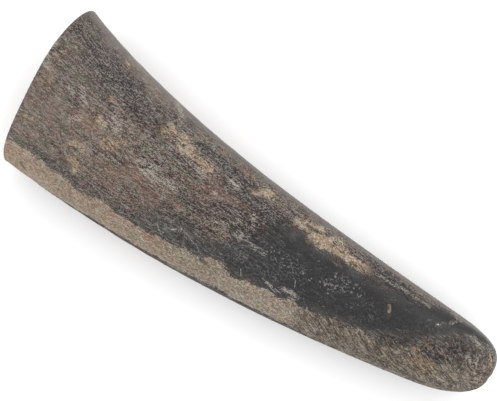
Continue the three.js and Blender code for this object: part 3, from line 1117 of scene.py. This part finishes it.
def skin_material():
    """The outside: fibrous grey-brown bark, smooth charcoal, and tan where the surface is worn away."""
    n = SkinNodes("horn_skin")
    pale = pale_fibres(n)
    tan = tan_colour(n)
    nick = n.attribute("nick")

    # Where each layer shows. Fine noise makes the edges ragged.
    inside = n.total((n.charcoal, 1.0), (n.fine, 16.0), (n.stripe, 14.0), (7.0, -1.0))
    in_charcoal = n.times(n.ramp(inside, -1.5, 1.2), n.ramp(n.along, 38, 92, 0.2, 1))
    in_band = n.ramp(n.total((n.band, 1.0), (n.fine, 6.0)), -0.3, 0.4)
    in_mark = n.ramp(n.total((n.attribute("tan"), 1.0), (n.fine, 4.5)), -0.05, 0.55)
    # The band's foot: pale fibres just above it, and a dark strip on it that is partly painted shade.
    foot = n.total((n.attribute("foot"), 1.0), (n.patch, 10.0), (n.fine, 4.0), (5.0, -1.0))
    fringe = n.times(n.ramp(foot, -2.4, -0.7), n.ramp(n.band, -1.5, -0.5), n.ramp(n.grain, 0.46, 0.56))
    hairs = n.ramp(n.total((n.streak, 0.35), (n.cross, 0.3), (n.speck, 0.35)), 0.43, 0.57, 0.08, 1)
    rub = n.ramp(n.total((n.attribute("rub"), 1.0), (n.fine, 4.0)), 0.2, 0.9)

    colour = n.coats(
        bark_colour(n, pale),
        ("charcoal", in_charcoal, charcoal_colour(n, pale)),
        ("pale marks", n.times(n.stain("pale", 0.95), hairs), look(180, 173, 163)),
        *scratch_coats(n),
        ("worn band", in_band, n.mix(n.ramp(n.along, *MIXED_BAND), tan, khaki_colour(n))),
        ("tan marks", in_mark, tan),
        ("fringe below the band", n.times(fringe, 0.75), look(184, 178, 169)),
        # Painted shade: a dark strip on the band's foot, where the outer side turns under, darker than the
        # underside's own keratin.
        ("dark foot and painted shade below the band", n.times(n.ramp(foot, -0.3, 0.4), 0.8), look(66, 63, 61)),
        ("stain by the nick", n.ramp(n.attribute("nick_tail"), 0.0, 0.7, 0, 0.6), look(92, 76, 66)),
        ("shade round the nick", n.ramp(nick, -0.4, 0.0, 0, 0.6), look(66, 58, 52)),
        ("nick", n.ramp(nick, 0.0, 0.4), look(138, 124, 110)),
        ("core of the nick", n.ramp(n.attribute("nick_core"), 0.0, 0.6), look(78, 68, 60)),
        ("rubbed underside", n.times(rub, 0.5), look(112, 105, 98)),
        ("scrapes", n.times(rub, n.threads(0.09, 1.3, 0.05, -0.08), 0.5), look(160, 152, 142)),
    )
    smooth = n.most(in_charcoal, n.times(n.polish, 0.7))
    worn = n.most(in_band, in_mark)
    rough = n.blend(worn, n.blend(smooth, 0.62, 0.42), 0.7)
    height = n.blend(smooth, n.grain, n.times(n.grain, 0.15))
    height = n.blend(worn, height, n.times(n.speck, 0.5))
    return n.finish(colour, rough, height, 0.35)


def sawn_material():
    """The saw cut: a dark rind, then growth layers that follow the outline, under fine saw marks."""
    n = Nodes("horn_sawn")
    blotch = n.fibre_noise(0.1, 0.14, 3)
    patch = n.fibre_noise(0.3, 0.45, 3)
    speck = n.fibre_noise(1.0, 2.4, 3, 0.6)
    depth = n.total((n.attribute("wall"), 1.0), (blotch, 0.35), (patch, 0.12), (0.235, -1.0))
    layers = n.math("SINE", n.times(depth, 75.0))
    broad = n.math("SINE", n.times(depth, 21.0))
    colour = n.coats(
        n.mix(n.ramp(depth, 0.04, 0.3), look(62, 58, 56), look(104, 94, 85)),
        ("inner layers", n.ramp(depth, 0.45, 0.95), look(134, 120, 103)),
        ("broad dark layers", n.ramp(broad, -0.2, 0.9, 0, 0.35), look(84, 76, 70)),
        ("thin light layers", n.ramp(layers, -0.2, 0.9, 0, 0.3), look(146, 134, 118)),
    )
    colour = n.lighten(colour, n.ramp(speck, 0.3, 0.7, -15, 13))
    height = n.total((layers, 0.1), (speck, 1.0))
    return n.finish(colour, n.ramp(speck, 0.3, 0.7, 0.6, 0.78), height, 0.12)


def hollow_material():
    """The cavity: pale, dry and fibrous, darker towards its end."""
    n = Nodes("horn_hollow")
    blotch = n.fibre_noise(0.08, 0.12, 3)
    furrow = n.fibre_noise(0.12, 1.1, 3, 0.6)
    speck = n.fibre_noise(1.2, 2.2, 3, 0.6)
    colour = n.mix(n.ramp(blotch, 0.35, 0.65), look(150, 132, 108), look(118, 98, 78))
    colour = n.mix(n.ramp(n.attribute("along"), 12, 74, 0, 0.7), colour, look(84, 70, 58))
    colour = n.lighten(colour, n.ramp(furrow, 0.3, 0.7, -13, 10))
    colour = n.mix(n.ramp(speck, 0.36, 0.28, 0, 0.6), colour, look(60, 48, 40))
    height = n.math("ADD", furrow, n.times(speck, 0.6))
    return n.finish(colour, 0.78, height, 0.4)


# ---- Studio ----

# The camera stands over the horn, and this much of the floor's width fills the picture. Sizes in millimetres.
CAMERA_HEIGHT = 420.0
CAMERA_AT = (-11.0, 3.7)
CAMERA_TURN = math.radians(31.8)
SENSOR = 36.0
SCENE_WIDTH = 179.8

# In metres and watts: the floor, the world's even light, and one large soft lamp.
FLOOR_SIZE = 4.0
FLOOR_DROP = 0.00005
PAPER_GRAIN = 90
PAPER_WHITES = (0.93, 0.95)
WORLD_STRENGTH = 1.3
KEY_PLACE = (0.15, 0.95, 0.75)
KEY_SIZE = 0.9
KEY_WATTS = 4.0


def make_floor():
    bpy.ops.mesh.primitive_plane_add(size=FLOOR_SIZE, location=(0, 0, -FLOOR_DROP))
    floor = bpy.context.object
    floor.name = "floor"
    n = Nodes("floor_paper")
    place = n.node("TexCoord", {})["Object"]
    grain = n.noise(n.stretched(place, [PAPER_GRAIN] * 3), 4)
    paper = n.mix(grain, *([white] * 3 + [1] for white in PAPER_WHITES))
    n.put(n.shader.inputs["Base Color"], paper)
    n.shader.inputs["Roughness"].default_value = 1.0
    n.shader.inputs["Specular IOR Level"].default_value = 0.0
    floor.data.materials.append(n.material)


def make_lights(target):
    """An even white world, and one large soft lamp that faces the horn."""
    world = bpy.data.worlds.new("studio")
    world.use_nodes = True
    world.node_tree.nodes["Background"].inputs["Color"].default_value = (1, 1, 1, 1)
    world.node_tree.nodes["Background"].inputs["Strength"].default_value = WORLD_STRENGTH
    bpy.context.scene.world = world
    light = bpy.data.lights.new("key", "AREA")
    light.shape = "DISK"
    light.size = KEY_SIZE
    light.energy = KEY_WATTS
    lamp = bpy.data.objects.new("key", light)
    lamp.location = KEY_PLACE
    lamp.rotation_euler = (Vector(target) - Vector(KEY_PLACE)).to_track_quat("-Z", "Y").to_euler()
    bpy.context.scene.collection.objects.link(lamp)
    bpy.context.scene.view_settings.view_transform = "Standard"


def make_camera():
    """Straight above, turned so that the horn lies across the picture, its tip at the lower right."""
    camera = bpy.data.cameras.new("camera")
    camera.sensor_width = SENSOR
    camera.lens = SENSOR * CAMERA_HEIGHT / SCENE_WIDTH
    camera.clip_start = 0.01
    seat = bpy.data.objects.new("camera", camera)
    seat.location = (CAMERA_AT[0] * MM, CAMERA_AT[1] * MM, CAMERA_HEIGHT * MM)
    seat.rotation_euler = (0, 0, CAMERA_TURN)
    bpy.context.scene.collection.objects.link(seat)
    bpy.context.scene.camera = seat


horn = make_horn()
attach(horn, "root")
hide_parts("horn")

make_floor()
make_lights((cad_box[0] + cad_box[1]) / 2)
make_camera()
